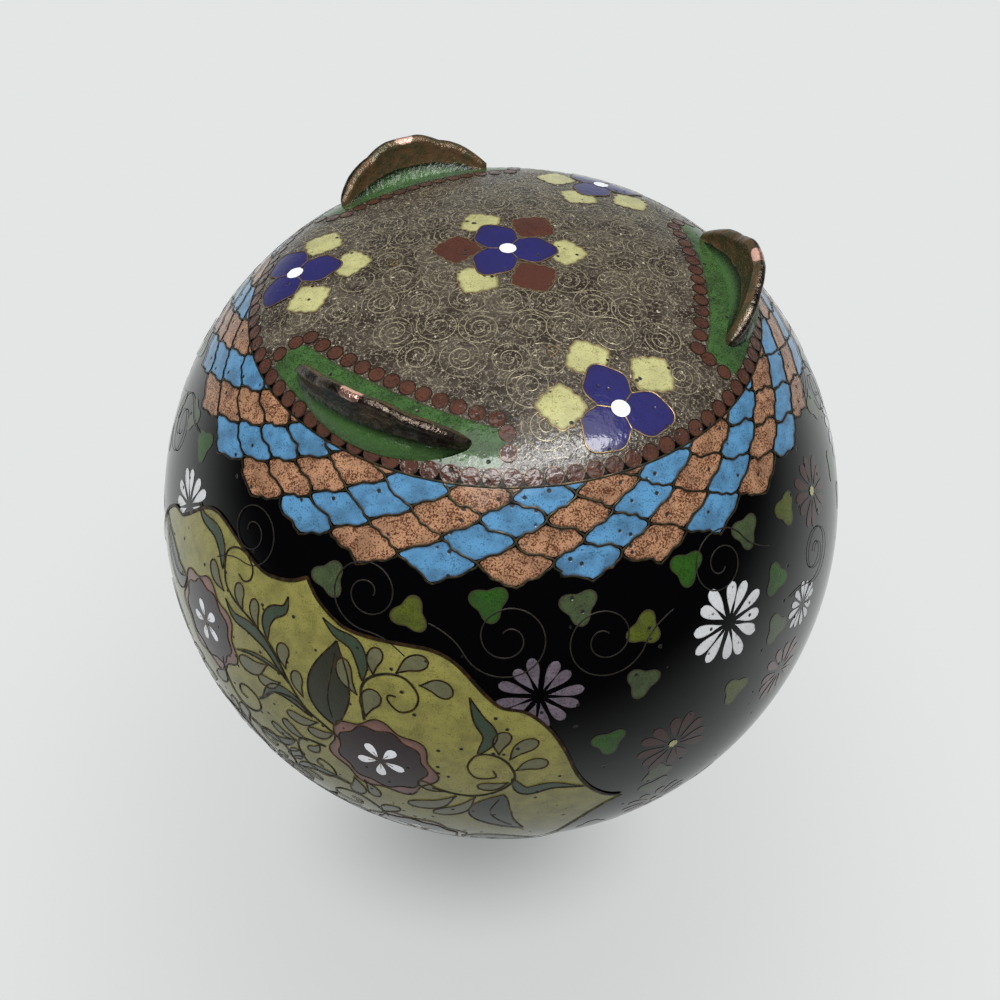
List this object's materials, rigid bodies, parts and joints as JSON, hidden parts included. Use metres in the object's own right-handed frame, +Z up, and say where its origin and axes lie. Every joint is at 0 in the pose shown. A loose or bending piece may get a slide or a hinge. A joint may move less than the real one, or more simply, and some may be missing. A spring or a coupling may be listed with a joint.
{
  "type": "lidded tripod vessel",
  "caption": "Globular enamelled metal jar on low bracket feet, with a domed lift-off lid, a bud knob and a hollow inside.",
  "frame": {"origin": "on the floor, under the middle of the jar, at the level of its feet", "axes": "+Z up along the jar's axis; -X runs through the middle of one foot"},
  "size_m": [0.13, 0.13, 0.1382],
  "materials": {
    "body_enamel": "polished enamel with fine metal wires",
    "lid_enamel": "polished enamel with fine metal wires",
    "knob_metal": "dull worn gilt metal",
    "foot_copper": "dark patinated copper, bare where it is worn"
  },
  "bodies": {
    "root": {"vessel_body": "body_enamel", "lid": "lid_enamel", "lid_knob": "knob_metal", "foot_1": "foot_copper", "foot_2": "foot_copper", "foot_3": "foot_copper"}
  },
  "joints": []
}
